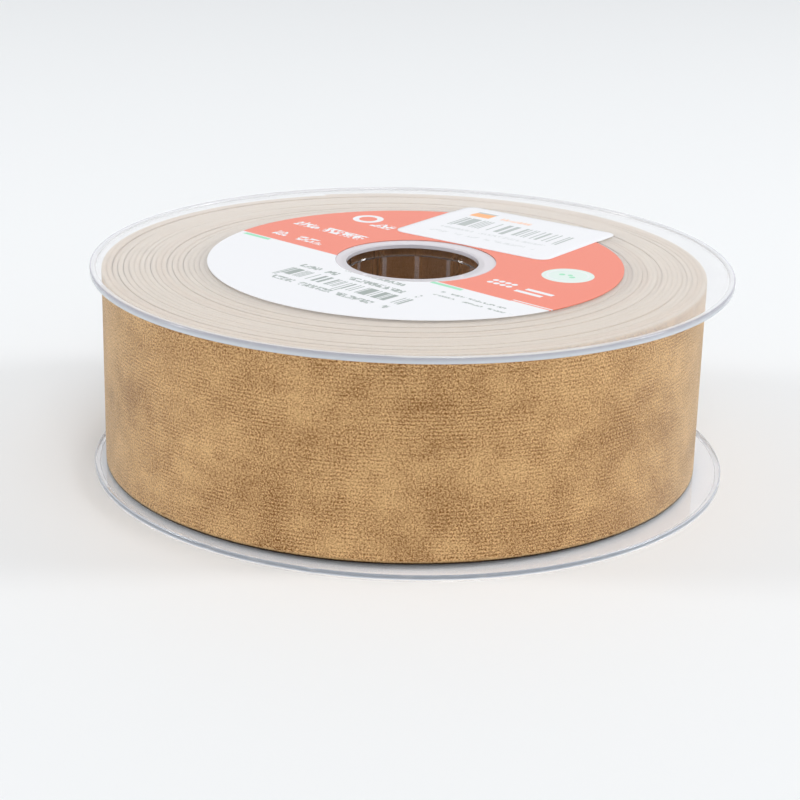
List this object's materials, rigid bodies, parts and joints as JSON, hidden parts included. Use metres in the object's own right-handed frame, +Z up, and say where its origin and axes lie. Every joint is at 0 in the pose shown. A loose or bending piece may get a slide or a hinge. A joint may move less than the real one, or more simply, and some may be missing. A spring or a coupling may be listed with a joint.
{
  "type": "ribbon spool",
  "caption": "Clear plastic spool with ribbed hub and two rimmed flanges, wound with wide velvet ribbon whose taped free end peels off.",
  "frame": {"origin": "centre of the lowest plane of the lower flange's rim, on the bore's axis", "axes": "+Z up the bore, from the lower flange to the labelled upper flange; +Y towards the side where the ribbon's free end is taped"},
  "size_m": [0.123, 0.123, 0.0402],
  "materials": {
    "clear_plastic": "clear, polished",
    "velvet": "short cut pile, camel",
    "tape": "clear film",
    "label_paper": "satin printed paper",
    "sticker_paper": "matt coated paper"
  },
  "bodies": {
    "spool": {"upper_flange": "clear_plastic", "lower_flange": "clear_plastic", "hub_core": "clear_plastic", "ribbon_winding": "velvet", "starter_tape": "tape", "round_label": "label_paper", "price_sticker": "sticker_paper"},
    "free_end": {"ribbon_free_end": "velvet", "end_tape": "tape"}
  },
  "joints": [
    {"name": "free_end_peel", "type": "hinge", "parent": "spool", "child": "free_end", "pos_m": [0.01223, 0.05668, 0.02], "axis": [0, 0, -1], "range_deg": [0, 60]}
  ]
}
